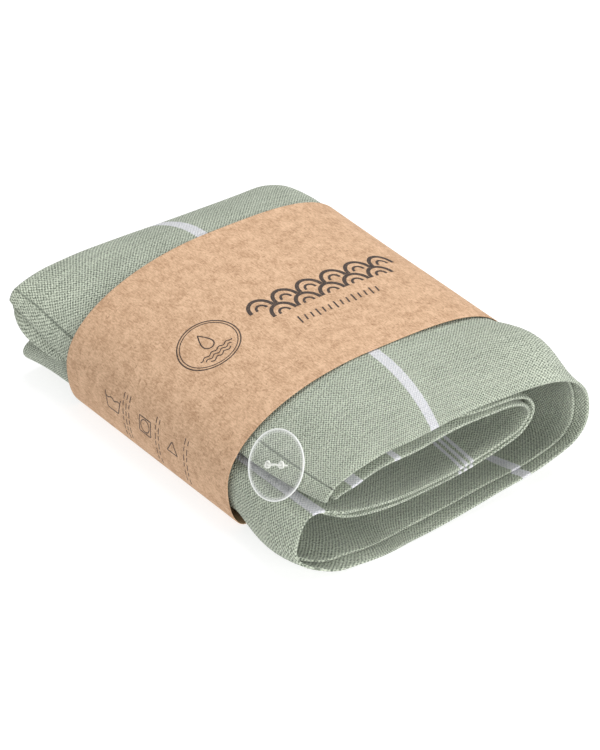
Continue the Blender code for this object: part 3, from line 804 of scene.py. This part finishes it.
@dataclass
class FoldedTowel:
    """The cloth and its two hem threads."""

    path: FoldPath
    finish: CottonFinish
    thread: ThreadFinish
    flat: tuple[float, float] = (406.0 * MM, 711.0 * MM)
    ply: float = 1.4 * MM
    gap: float = 0.5 * MM
    stagger: float = 6.0 * MM
    hem: float = 9.0 * MM
    hem_extra: float = 0.4 * MM
    groove: float = 0.50 * MM
    corner_recess: float = 6.0 * MM
    tucked_recess: float = 14.0 * MM
    columns: int = 50
    tip_columns: int = 5
    loft: float = 14.0 * MM
    swell: float = 0.5 * MM
    swell_fades: tuple[float, float] = (24.0 * MM, 36.0 * MM)
    opened: float = 0.75 * MM
    stitch: float = 2.6 * MM
    thread_diameter: float = 0.45 * MM

    @property
    def seam(self) -> float:
        """Distance of the seam from the cloth's end, just inside the hem's inner edge."""
        return self.finish.seam

    def knot(self, place: Knot) -> float:
        """Distance of a knot from the flap's end."""
        return float(self.path.knot_runs[place])

    def front_edge(self, run: np.ndarray) -> np.ndarray:
        """Front end of the outer ply: set back at the lower left corner and where the end is tucked in."""
        low, high = self.knot(Knot.LEFT_CORNER) + 2 * MM, self.knot(Knot.LEFT_CREST) - 4 * MM
        corner = plateau(run, low, high, 14 * MM)
        tucked = ease(run, self.knot(Knot.TUCK_FOLD) - 12 * MM, self.knot(Knot.TUCKED_END))
        waver = 0.25 * np.sin(run / 0.009) + 0.30 * np.sin(run / 0.021 + 0.7)
        recess = self.corner_recess * corner + self.tucked_recess * tucked
        return self.path.front - recess + (waver - 0.6) * MM

    def inner_setback(self, run: np.ndarray) -> np.ndarray:
        """How far the inner ply's edge lies behind the outer one's: least in the middle pass."""
        level = plateau(run, self.knot(Knot.MIDDLE_START), self.knot(Knot.HIDDEN_START), 30 * MM)
        return self.stagger - 4.8 * MM * level + 0.3 * MM * np.sin(run / 0.013 + 2.0)

    def thickness(self, run: np.ndarray) -> np.ndarray:
        """Thickness of one ply: more in the hems, and rounded off over the last half millimetre."""
        from_end = np.minimum(run, self.path.length - run)
        hem = self.ply + self.hem_extra * (1 - ease(from_end, self.hem - 0.3 * MM, self.hem + 0.5 * MM))
        return hem * np.sqrt(np.clip(from_end / (0.9 * MM), 0.12, 1.0))

    def seam_dip(self, run: np.ndarray) -> np.ndarray:
        """How far the stitches pull the cloth in: a narrow bell round each seam."""
        from_end = np.minimum(run, self.path.length - run)
        return self.groove * np.exp(-((from_end - self.seam) / (0.55 * MM)) ** 2)

    def section(self, run: np.ndarray) -> tuple[np.ndarray, ...]:
        """Middle of the ply along a hairpin: out along the outer ply, round the back fold and back.

        Near the fold the distance from the tip gives a quarter circle of the gap and half a ply, and the
        plies swell apart there like a square root that fades away again.

        Args:
            run: Distances of the rows from the flap's end.

        Returns:
            Place along the roll, height, spring share and distance across the flat cloth, each as rows
            by columns.
        """
        radius = (self.gap + self.ply) / 2
        turn = np.linspace(0, math.pi / 2, self.tip_columns, endpoint=False)
        share = np.linspace(0, 1, self.columns) ** 1.25
        front = self.front_edge(run)[:, None]
        inner_front = front - self.inner_setback(run)[:, None]
        tip = self.path.back + radius + 0.2 * MM * np.sin(run / 0.017)[:, None]
        reach = [end - tip - radius for end in (front, inner_front)]
        depth = [np.hstack((np.tile(radius * (1 - np.cos(turn)), (len(run), 1)), radius + length * share))
                 for length in reach]
        depth = np.hstack((depth[0][:, :0:-1], depth[1]))
        side = np.concatenate((np.ones(self.columns + self.tip_columns - 1), [0.0],
                               -np.ones(self.columns + self.tip_columns - 1)))[None, :]
        x = tip + depth
        near = np.clip(depth / radius, 0, 1)
        level = plateau(run, self.knot(Knot.MIDDLE_START), self.knot(Knot.RIGHT_LOOP), 25 * MM)[:, None]
        swelling = np.sqrt(2 * depth / self.loft) * np.exp(0.5 - depth / self.loft)
        swelling = swelling * (1 - ease(depth, *self.swell_fades))
        apart = radius * np.sqrt(1 - (1 - near) ** 2) + self.swell * swelling
        apart = apart + self.opened * level * self.path.front_share(x)
        sprung = np.where(side < 0, swelling, 0.0)
        across = self.flat[0] / 2 - side * depth
        return x, side * apart, sprung, across

    def faces(self, rows: int, columns: int, rounding: int) -> list[list[int]]:
        """Quads round the sheet, and a ladder of quads that closes each end.

        Args:
            rows: Rows of the grid.
            columns: Columns on one face of the sheet.
            rounding: Columns round each front edge.

        Returns:
            Vertex numbers of each face.
        """
        ring = 2 * (columns + rounding)
        faces = grid_faces(rows, ring).tolist()
        step = np.arange(columns - 1)
        back = 2 * columns + rounding - 1 - step
        ladder = np.stack((step, step + 1, back - 1, back), axis=-1)
        ends = [list(range(columns - 1, columns + rounding + 1)),
                [*range(2 * columns + rounding - 1, ring), 0]]
        last = (rows - 1) * ring
        faces += ladder[:, ::-1].tolist() + [end[::-1] for end in ends]
        faces += (ladder + last).tolist() + [[corner + last for corner in end] for end in ends]
        return faces

    def build_cloth(self) -> bpy.types.Object:
        """The sheet: both faces lie half a ply off the hairpin, along its normal, joined by round edges."""
        seams = np.array((self.seam, self.path.length - self.seam))
        offsets = np.array((-1.1, -0.7, -0.35, 0.0, 0.35, 0.7, 1.1)) * MM
        marks = np.sort(np.concatenate(((seams[:, None] + offsets).ravel(),
                                        (0.15 * MM, 0.4 * MM, 0.9 * MM))))
        run = np.concatenate(([0.0], self.path.stations(marks)[1:]))
        x, height, sprung, across = self.section(run)
        along_x = np.gradient(x, axis=1)
        along_h = np.gradient(height, axis=1)
        size = np.hypot(along_x, along_h)
        half = self.thickness(run)[:, None] / 2
        normal_x, normal_h = along_h / size * half, -along_x / size * half
        dip = self.seam_dip(run)[:, None]
        outer = (x + normal_x, height + normal_h * (1 - dip / half * 0.9))
        inner = (x - normal_x, height - normal_h)
        columns = x.shape[1]
        angle = np.radians((50.0, 0.0, -50.0))[None, :]

        def edge(column: int, sign: float) -> tuple[np.ndarray, np.ndarray]:
            """Half circle round the end of a ply, from one face to the other."""
            bulge = x[:, [column]] + half * np.cos(angle) * 0.9
            return bulge, height[:, [column]] + sign * half * np.sin(angle)

        inner_edge = edge(columns - 1, -1.0)
        outer_edge = edge(0, -1.0)
        grid_x = np.hstack((outer[0], inner_edge[0], inner[0][:, ::-1], outer_edge[0]))
        grid_h = np.hstack((outer[1], inner_edge[1], inner[1][:, ::-1], outer_edge[1]))

        def spread(values: np.ndarray) -> np.ndarray:
            """Values of the hairpin, repeated for both faces and the edges."""
            last, first = values[:, [-1] * 3], values[:, [0] * 3]
            return np.hstack((values, last, values[:, ::-1], first))

        points = self.path.place(run, grid_x, grid_h, spread(sprung))
        over = self.ply * np.array((0.35, 0.75, 0.35))  # cloth that the edge's own three columns take
        across = np.hstack((across, across[:, [-1]] + over, across[:, ::-1], across[:, [0]] - over))
        uv = np.stack((np.broadcast_to(run[:, None], grid_x.shape), across), axis=-1)
        faces = self.faces(len(run), columns, 3)
        made = mesh_object("folded_cloth", points, faces, self.finish.build(), uv)
        LOG.info("cloth: %d rows of %d, %.1f mm long", len(run), grid_x.shape[1], self.path.length / MM)
        return install(made, Body.TOWEL, Slot.COTTON, "towel_cloth")

    def build_thread(
        self, name: str, run: float, node: str, material: bpy.types.Material
    ) -> bpy.types.Object:
        """A row of stitches: a thread that dips into the cloth once every stitch, out and back."""
        row = np.array((run,))
        x, height, sprung, _ = self.section(row)
        guide = np.stack((x[0], height[0], sprung[0]), axis=-1)
        steps = run_along(guide[:, :2])
        places = np.arange(1.5 * MM, steps[-1] - 1.5 * MM, self.stitch / 7)
        guide = at_run(guide, steps, places)
        along = tangents(guide[:, :2])
        bob = np.abs(np.sin(math.pi * places / self.stitch)) ** 0.6
        off = float(self.thickness(row)[0]) / 2 - self.groove * 0.9 + self.thread_diameter * (bob - 0.35)
        line = self.path.place(row, (guide[:, 0] + along[:, 1] * off)[None, :],
                               (guide[:, 1] - along[:, 0] * off)[None, :], guide[None, :, 2])[0]
        shells = Shells()
        shells.tube(line, self.thread_diameter / 2, 6)
        return install(shells.build(name, material), Body.TOWEL, Slot.THREAD, node)

    def build(self) -> None:
        cloth = self.build_cloth()
        thread = self.thread.build()
        inner_seam = self.path.length - self.seam
        threads = [
            self.build_thread("flap_hem_stitches", self.seam, "flap_hem_thread", thread),
            self.build_thread("inner_hem_stitches", inner_seam, "inner_hem_thread", thread),
        ]


# ---------------------------------------------------------------------------------------------
# Sleeve
# ---------------------------------------------------------------------------------------------


@dataclass
class PaperSleeve:
    """The paper band with its lap and its print."""

    low: Vector
    high: Vector
    finish: KraftFinish
    ink: InkFinish
    paper: float = 0.45 * MM
    widest: float = 22.0 * MM
    left_corner: float = 9.5 * MM
    right_corner: float = 26.0 * MM
    powers: tuple[float, float] = (2.05, 3.5)
    lap: float = 14.0 * MM
    lap_step: float = 6.0 * MM
    lap_gap: float = 0.8 * MM
    spacing: float = 1.1 * MM
    columns: int = 44
    crown: float = 0.22 * MM
    ink_lift: float = 0.02 * MM
    ink_thickness: float = 0.05 * MM

    def arc(
        self, center: tuple[float, float], reach: tuple[float, float], power: float, back: bool
    ) -> np.ndarray:
        """Quarter of a superellipse: each coordinate is a cosine or sine to the power of 2 over power."""
        angle = np.linspace(0.0, math.pi / 2, 160, endpoint=False)
        angle = math.pi / 2 - angle if back else angle
        return np.column_stack((
            center[0] + reach[0] * np.cos(angle) ** (2 / power),
            center[1] + reach[1] * np.sin(angle) ** (2 / power),
        ))

    def outline(self) -> np.ndarray:
        """Outer outline as (y, z), clockwise from the bottom middle round to the bottom middle again."""
        half = self.high.y
        rise = self.high.z - self.widest
        left, right = self.powers
        return np.vstack((
            [(0.0, 0.0), (-0.5 * half, 0.0)],
            self.arc((self.left_corner - half, self.widest), (-self.left_corner, -self.widest), 2.0, True),
            self.arc((0.0, self.widest), (-half, rise), left, False),
            self.arc((0.0, self.widest), (half, rise), right, True),
            self.arc((half - self.right_corner, self.widest), (self.right_corner, -self.widest), 2.0, False),
            [(half - self.right_corner, 0.0), (0.0, 0.0)],
        ))

    def __post_init__(self) -> None:
        """Resample the outline, and find the distance at the top centre."""
        line = self.outline()
        run = run_along(line)
        self.run = np.linspace(0, run[-1], int(run[-1] / (0.5 * MM)))
        self.line = at_run(line, run, self.run)
        along = tangents(self.line)
        self.outward = np.column_stack((-along[:, 1], along[:, 0]))
        top = (self.line[:, 1] > self.widest) & (self.line[:, 0] <= 0)
        self.top_run = float(self.run[top][-1])

    def swell(self, x: np.ndarray, run: np.ndarray) -> np.ndarray:
        """How far the paper stands off its outline: low waves, and edges that flare very slightly."""
        free = ease(self.line_height(run), 1.0 * MM, 9.0 * MM)
        middle = (self.low.x + self.high.x) / 2
        off_middle = np.abs(x - middle) / ((self.high.x - self.low.x) / 2)
        waves = np.sin(run / 0.0217 + x / 0.034) * np.sin(x / 0.019 - run / 0.055 + 0.9)
        return free * self.crown * (0.55 + 0.45 * waves + 0.5 * off_middle**8)

    def line_height(self, run: np.ndarray) -> np.ndarray:
        """Height of the outline at a distance."""
        return np.interp(run, self.run, self.line[:, 1])

    def place(self, x: np.ndarray, run: np.ndarray, lift: np.ndarray) -> np.ndarray:
        """Points on the paper's outer face, raised by a lift along its normal."""
        line = np.stack([np.interp(run, self.run, column) for column in self.line.T], axis=-1)
        normal = np.stack([np.interp(run, self.run, column) for column in self.outward.T], axis=-1)
        flat = line + normal * (lift + self.swell(x, run))[..., None]
        return np.concatenate((x[..., None], flat), axis=-1)

    def build_band(self) -> bpy.types.Object:
        """The band: outer and inner faces carried round the outline, with one end lapped over the other."""
        total = float(self.run[-1])
        overlap = self.lap / 2
        places = np.linspace(-overlap, total + overlap, int(total / self.spacing))
        edge = np.array((0.0, 0.12, 0.35)) * MM
        inside = np.linspace(self.low.x + 1.2 * MM, self.high.x - 1.2 * MM, self.columns)
        x = np.concatenate((self.low.x + edge, inside, self.high.x - edge[::-1]))
        around = places % total
        step = self.paper + self.lap_gap
        lapped = step * ease(places, total - overlap - self.lap_step, total - overlap)
        rounded = np.sqrt(np.clip(np.minimum(x - self.low.x, self.high.x - x) / (0.3 * MM), 0.25, 1))
        grid_x, grid_run = np.meshgrid(x, around, indexing="ij")
        drop = (self.paper / 2) * (1 - rounded)[:, None]
        lapped = np.broadcast_to(lapped[None, :], grid_x.shape)
        outer = self.place(grid_x, grid_run, -lapped - drop)
        inner = self.place(grid_x, grid_run, -lapped - self.paper + drop)
        rings = np.concatenate((outer, inner[:, ::-1]), axis=1)
        rows, columns, _ = rings.shape
        half = columns // 2
        step_up = np.arange(half - 1)
        ladder = np.stack((step_up, step_up + 1, columns - 2 - step_up, columns - 1 - step_up), axis=-1)
        faces = grid_faces(rows, columns).tolist()
        faces += ladder[:, ::-1].tolist() + (ladder + (rows - 1) * columns).tolist()
        made = mesh_object("kraft_sleeve", rings, faces, self.finish.build())
        return install(made, Body.SLEEVE, Slot.KRAFT, "paper_sleeve")

    def stroke(self, shells: Shells, line: np.ndarray, width: float, looped: bool = False) -> None:
        """Add a printed line: a flat ribbon of an even width on the paper.

        Args:
            shells: Where to add it.
            line: Points as (x, distance from the top centre towards the left side).
            width: Width of the line.
            looped: Whether the line is closed.
        """
        closed = np.vstack((line, line[:1])) if looped else line
        run = run_along(closed)
        count = max(3, int(run[-1] / (0.8 * MM)) + 1)
        places = np.linspace(0, run[-1], count, endpoint=not looped)
        line = at_run(closed, run, places)
        along = tangents(line, looped)
        side = np.column_stack((-along[:, 1], along[:, 0])) * width / 2
        high, low = self.ink_lift + self.ink_thickness, self.ink_lift
        sides = ((1.0, high), (-1.0, high), (-1.0, low), (1.0, low))
        rings = []
        for sign, lift in sides:
            x, down = (line + side * sign).T
            rings.append(self.place(x, self.top_run - down, np.full(count, lift)))
        shells.add(np.stack(rings, axis=1), looped)

    def circle(self, x: float, run: float, radius: float, sides: int = 48) -> np.ndarray:
        """Points round a circle on the flat paper."""
        angle = np.linspace(0, 2 * math.pi, sides, endpoint=False)
        return np.column_stack((x + radius * np.cos(angle), run + radius * np.sin(angle)))

    def print_scallops(self, shells: Shells) -> None:
        """The bold ornament on top: two staggered rows of rolling scallops, each over a smaller one."""
        start, end = 22.0 * MM, -55.0 * MM
        count = 6
        pitch = (start - end) / count
        angle = np.linspace(-0.5 * math.pi, 0.5 * math.pi, 40)
        for row, (base, shift) in enumerate(((-3.6 * MM, 0.0), (4.2 * MM, 0.5))):
            for number in range(count - row):
                middle = start - (number + 0.5 + shift) * pitch
                for inset, width in ((0.9 * MM, 1.75 * MM), (4.0 * MM, 1.2 * MM)):
                    reach = pitch / 2 - inset
                    rise = 1.25 * reach * np.cos(angle)
                    arch = np.column_stack((base - rise, middle + reach * np.sin(angle)))
                    self.stroke(shells, arch, width)

    def print_dashes(self, shells: Shells) -> None:
        """The small row under it: short slanted dashes."""
        for number in range(14):
            run = (8.6 - 3.12 * number) * MM
            tall = (1.9 if number % 3 else 2.6) * MM
            line = np.array(((13.0 * MM + tall, run), (13.0 * MM - tall, run - 0.9 * MM)))
            self.stroke(shells, line, 0.75 * MM)

    def print_ring(self, shells: Shells) -> None:
        """The round ornament: two rings round a drop over three ripples."""
        x, run = -3.5 * MM, 44.6 * MM
        self.stroke(shells, self.circle(x, run, 14.0 * MM, 96), 0.55 * MM, looped=True)
        self.stroke(shells, self.circle(x, run, 12.8 * MM, 96), 0.40 * MM, looped=True)
        angle = np.linspace(0, 2 * math.pi, 60, endpoint=False)
        drop = np.column_stack((
            x - 2.6 * MM - 5.2 * MM * np.cos(angle),
            run + 3.6 * MM * np.sin(angle) * np.sin(angle / 2) ** 1.4,
        ))
        self.stroke(shells, drop, 0.55 * MM, looped=True)
        for number in range(3):
            share = np.linspace(-1, 1, 60)
            reach = (8.6 - 1.6 * number) * MM
            wave = x + (5.2 + 2.0 * number) * MM + 0.55 * MM * np.cos(share * reach / (0.62 * MM))
            self.stroke(shells, np.column_stack((wave, run + share * reach)), 0.5 * MM)

    def print_care(self, shells: Shells) -> None:
        """Three thin care signs down the left side, each beside rows of fine broken lines."""
        tub = np.array(((-36.8, 87.6), (-35.0, 95.0), (-27.5, 95.0), (-25.7, 87.6))) * MM
        self.stroke(shells, tub, 0.45 * MM)
        share = np.linspace(0, 1, 40)
        level = np.column_stack((-36.2 + 9.9 * share, 89.6 + 0.5 * np.sin(share * 4 * math.pi))) * MM
        self.stroke(shells, level, 0.4 * MM)
        square = np.array(((-12.0, 87.0), (-12.0, 94.6), (-4.0, 94.6), (-4.0, 87.0))) * MM
        self.stroke(shells, square, 0.45 * MM, looped=True)
        self.stroke(shells, self.circle(-8.0 * MM, 90.8 * MM, 3.0 * MM, 32), 0.4 * MM, looped=True)
        triangle = np.array(((7.8, 93.8), (14.8, 93.8), (11.3, 88.2))) * MM
        self.stroke(shells, triangle, 0.45 * MM, looped=True)
        for first, count in ((-23.8, 3), (-0.6, 2), (19.4, 2)):
            for number in range(count):
                x = (first + 2.1 * number) * MM
                for piece in range(6):
                    run = (82.4 + 3.9 * piece + 0.5 * (number % 2)) * MM
                    length = (2.9 - 0.8 * ((piece + number) % 2)) * MM
                    self.stroke(shells, np.array(((x, run), (x, run + length))), 0.42 * MM)

    def build(self) -> None:
        """Make the band and its print, and dress the glue under the lap."""
        self.build_band()
        shells = Shells()
        self.print_scallops(shells)
        self.print_dashes(shells)
        self.print_ring(shells)
        self.print_care(shells)
        install(shells.build("sleeve_print", self.ink.build()), Body.SLEEVE, Slot.KRAFT)
        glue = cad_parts["sleeve_glue_strip"]
        glue.material_slots[0].material = GlueFinish().build()


# ---------------------------------------------------------------------------------------------
# Seal
# ---------------------------------------------------------------------------------------------


@dataclass
class ClearSeal:
    """The clear disc and the moulded staple that pins it to the flap."""

    film: FilmFinish
    nylon: NylonFinish
    radius: float = 15.0 * MM
    thickness: float = 0.5 * MM
    bead: float = 0.34 * MM
    sides: int = 128
    leg_spacing: float = 7.2 * MM
    head: float = 1.7 * MM

    def __post_init__(self) -> None:
        """Read the disc's place from its CAD node: its middle, and the way it and the staple face."""
        disc = self.vertices("seal_disc")
        staple = self.vertices("tag_staple")
        self.center = (disc.min(axis=0) + disc.max(axis=0)) / 2
        self.outward = np.linalg.svd(disc - disc.mean(axis=0), full_matrices=False)[2][2]
        self.outward *= -np.sign(self.outward[1])
        spread = staple - self.center
        heights = spread @ self.outward
        heads = spread[heights > self.thickness / 2]
        heads = heads - np.outer(heads @ self.outward, self.outward)
        self.across = np.linalg.svd(heads - heads.mean(axis=0), full_matrices=False)[2][0]
        self.across *= np.sign(self.across[0])
        self.across -= self.outward * float(self.across @ self.outward)
        self.across /= np.linalg.norm(self.across)
        self.up = np.cross(self.outward, self.across)
        self.lowest = float(heights.min())

    @staticmethod
    def vertices(node: str) -> np.ndarray:
        """Different vertices of a CAD node."""
        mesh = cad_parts[node].data
        places = np.empty(len(mesh.vertices) * 3, np.float32)
        mesh.vertices.foreach_get("co", places)
        return np.unique(places.reshape(-1, 3).round(6), axis=0).astype(float)

    def at(self, across: np.ndarray, up: np.ndarray, out: np.ndarray) -> np.ndarray:
        """Points from distances along the disc's own three directions."""
        across, up, out = np.broadcast_arrays(across, up, out)
        return (self.center + across[..., None] * self.across + up[..., None] * self.up
                + out[..., None] * self.outward)

    def build_disc(self) -> bpy.types.Object:
        """The disc: a profile turned round its middle, flat inside and with a round bead at its edge."""
        half = self.thickness / 2
        turn = np.linspace(-0.5 * math.pi, 0.5 * math.pi, 9)
        bead_radius = self.radius - self.bead + self.bead * np.cos(turn)
        bead_out = self.bead * np.sin(turn)
        flat = np.array((0.25, 0.5, 0.75, 0.9)) * (self.radius - 2 * self.bead)
        neck = np.array((self.radius - 2.0 * self.bead,))
        radius = np.concatenate((flat, neck, bead_radius, neck, flat[::-1]))
        out = np.concatenate((np.full(5, -half), bead_out, np.full(5, half)))
        rim = np.concatenate((np.zeros(4), [0.35], np.ones(9), [0.35], np.zeros(4)))
        angle = np.linspace(0, 2 * math.pi, self.sides, endpoint=False)[:, None]
        across, up = np.cos(angle) * radius, np.sin(angle) * radius
        rings = self.at(across, up, out[None, :]).transpose(1, 0, 2)
        count = len(radius) * self.sides
        poles = self.at(np.zeros(2), np.zeros(2), np.array((-half, half)))
        ring = np.arange(self.sides)
        ahead = (ring + 1) % self.sides
        last = count - self.sides
        faces = grid_faces(len(radius), self.sides).tolist()
        faces += np.stack((np.full(self.sides, count), ahead, ring), axis=-1).tolist()
        faces += np.stack((np.full(self.sides, count + 1), last + ring, last + ahead), axis=-1).tolist()
        points = np.vstack((rings.reshape(-1, 3), poles))
        values = {"rim": np.concatenate((np.repeat(rim, self.sides), (0.0, 0.0)))}
        made = mesh_object("clear_disc", points, faces, self.film.build(), values=values)
        return install(made, Body.TOWEL, Slot.FILM, "seal_disc")

    def build_staple(self) -> bpy.types.Object:
        """The staple: two ring heads joined by an arched bar, with a leg and an anchor bar under each."""
        shells = Shells()
        angle = np.linspace(0, 2 * math.pi, 28, endpoint=False)
        face = self.thickness / 2 + 0.3 * MM
        legs = (-self.leg_spacing / 2, self.leg_spacing / 2)
        for across in legs:
            wobble = 1 + 0.10 * np.sin(3 * angle + across * 900)
            ring = self.at(across + self.head * 0.72 * wobble * np.cos(angle),
                           self.head * 0.72 * wobble * np.sin(angle), np.full(28, face + 0.5 * MM))
            shells.tube(ring, 0.48 * MM, 8, looped=True)
            height = np.linspace(self.lowest + 0.5 * MM, face + 0.75 * MM, 12)
            taper = 0.45 * MM * (1 + 0.5 * ease(height, face - 0.2 * MM, face + 0.4 * MM))
            shells.tube(self.at(np.full(12, across), np.zeros(12), height), taper, 10)
            share = np.linspace(-1, 1, 9)
            anchor = self.at(across + share * 2.4 * MM, np.zeros(9), np.full(9, self.lowest + 0.6 * MM))
            shells.tube(anchor, 0.6 * MM * np.sqrt(1 - 0.75 * share**8), 10)
        share = np.linspace(-1, 1, 17)
        bar = self.at(share * self.leg_spacing / 2, 0.15 * MM * np.cos(share * 4),
                      face + 0.75 * MM + 0.30 * MM * (1 - share**2))
        shells.tube(bar, 0.42 * MM, 10)
        made = shells.build("moulded_staple", self.nylon.build())
        return install(made, Body.TOWEL, Slot.NYLON, "tag_staple")

    def build(self) -> None:
        """Make the disc and the staple."""
        self.build_disc()
        self.build_staple()


# ---------------------------------------------------------------------------------------------
# Studio
# ---------------------------------------------------------------------------------------------


@dataclass(frozen=True)
class SoftBox:
    """A square area light that faces the object."""

    name: str
    place: tuple[float, float, float]
    size: float
    power: float


@dataclass
class Studio:
    """A white sweep, soft light from above and a long lens."""

    finish: FloorFinish
    lights: tuple[SoftBox, ...] = (
        SoftBox("overhead", (-0.1, 0.45, 1.5), 1.1, 16.5),
        SoftBox("front_fill", (1.7, -0.25, 0.6), 1.0, 20.0),
    )
    surround: float = 0.50
    azimuth: float = math.radians(52.843)
    elevation: float = math.radians(33.477)
    distance: float = 2.0344
    lens: float = 230.45
    target: tuple[float, float, float] = (0.00338, -0.00147, 0.02415)
    floor_size: float = 6.0
    floor_drop: float = 0.2 * MM

    def build_floor(self) -> None:
        """A flat square just under the object."""
        half = self.floor_size / 2
        corners = np.array([(-half, -half, 0.0), (half, -half, 0.0), (half, half, 0.0), (-half, half, 0.0)])
        mesh = bpy.data.meshes.new("white_floor")
        mesh.from_pydata((corners - (0, 0, self.floor_drop)).tolist(), [], [[0, 1, 2, 3]])
        mesh.materials.append(self.finish.build())
        floor = bpy.data.objects.new("white_floor", mesh)
        bpy.context.scene.collection.objects.link(floor)

    def build_light(self, box: SoftBox) -> None:
        """One soft box, turned towards the camera's target."""
        light = bpy.data.lights.new(box.name, "AREA")
        light.size = box.size
        light.energy = box.power
        made = bpy.data.objects.new(box.name, light)
        made.location = box.place
        towards = Vector(self.target) - Vector(box.place)
        made.rotation_euler = towards.to_track_quat("-Z", "Y").to_euler()
        bpy.context.scene.collection.objects.link(made)

    def build_camera(self) -> None:
        """The camera: back from its target by the distance, at the azimuth and elevation."""
        data = bpy.data.cameras.new("camera")
        data.lens = self.lens
        data.sensor_width = 36.0
        data.clip_start = 0.05
        data.dof.use_dof = False
        camera = bpy.data.objects.new("camera", data)
        level = math.cos(self.elevation)
        back = Vector((math.sin(self.azimuth) * level, -math.cos(self.azimuth) * level,
                       math.sin(self.elevation)))
        camera.location = Vector(self.target) + back * self.distance
        camera.rotation_euler = (-back).to_track_quat("-Z", "Y").to_euler()
        bpy.context.scene.collection.objects.link(camera)
        bpy.context.scene.camera = camera

    def build(self) -> None:
        """Make the floor, the lights and the camera."""
        world = bpy.data.worlds.new("studio")
        world.use_nodes = True
        background = world.node_tree.nodes["Background"]
        background.inputs["Color"].default_value = rgb(1.0, 1.0, 1.0)
        background.inputs["Strength"].default_value = self.surround
        bpy.context.scene.world = world
        bpy.context.scene.view_settings.view_transform = "Standard"
        self.build_floor()
        for box in self.lights:
            self.build_light(box)
        self.build_camera()


# Distances of the white stripes from the flap's end
STRIPES = (
    Stripe(72.5 * MM, width=5.0 * MM),
    Stripe(207.0 * MM, width=4.4 * MM),
    Stripe(339.5 * MM, width=3.8 * MM),
    Stripe(418.5 * MM, bands=3, width=7.4 * MM, space=1.35 * MM),
    Stripe(532.0 * MM, width=3.0 * MM),
    Stripe(552.0 * MM, width=5.0 * MM),
)


def main() -> None:
    """Build the cloth, the sleeve, the seal and the studio."""
    logging.basicConfig(level=logging.INFO, format="%(message)s")
    cloth_low, cloth_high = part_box("towel_cloth")
    sleeve_low, sleeve_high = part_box("paper_sleeve")
    path = FoldPath(
        front=cloth_high.x,
        back=cloth_low.x,
        sleeve_front=sleeve_high.x,
        sleeve_back=sleeve_low.x,
    )
    FoldedTowel(path, CottonFinish(stripes=STRIPES), ThreadFinish()).build()
    PaperSleeve(sleeve_low, sleeve_high, KraftFinish(), InkFinish()).build()
    ClearSeal(FilmFinish(), NylonFinish()).build()
    Studio(FloorFinish()).build()


if __name__ == "__main__":
    main()
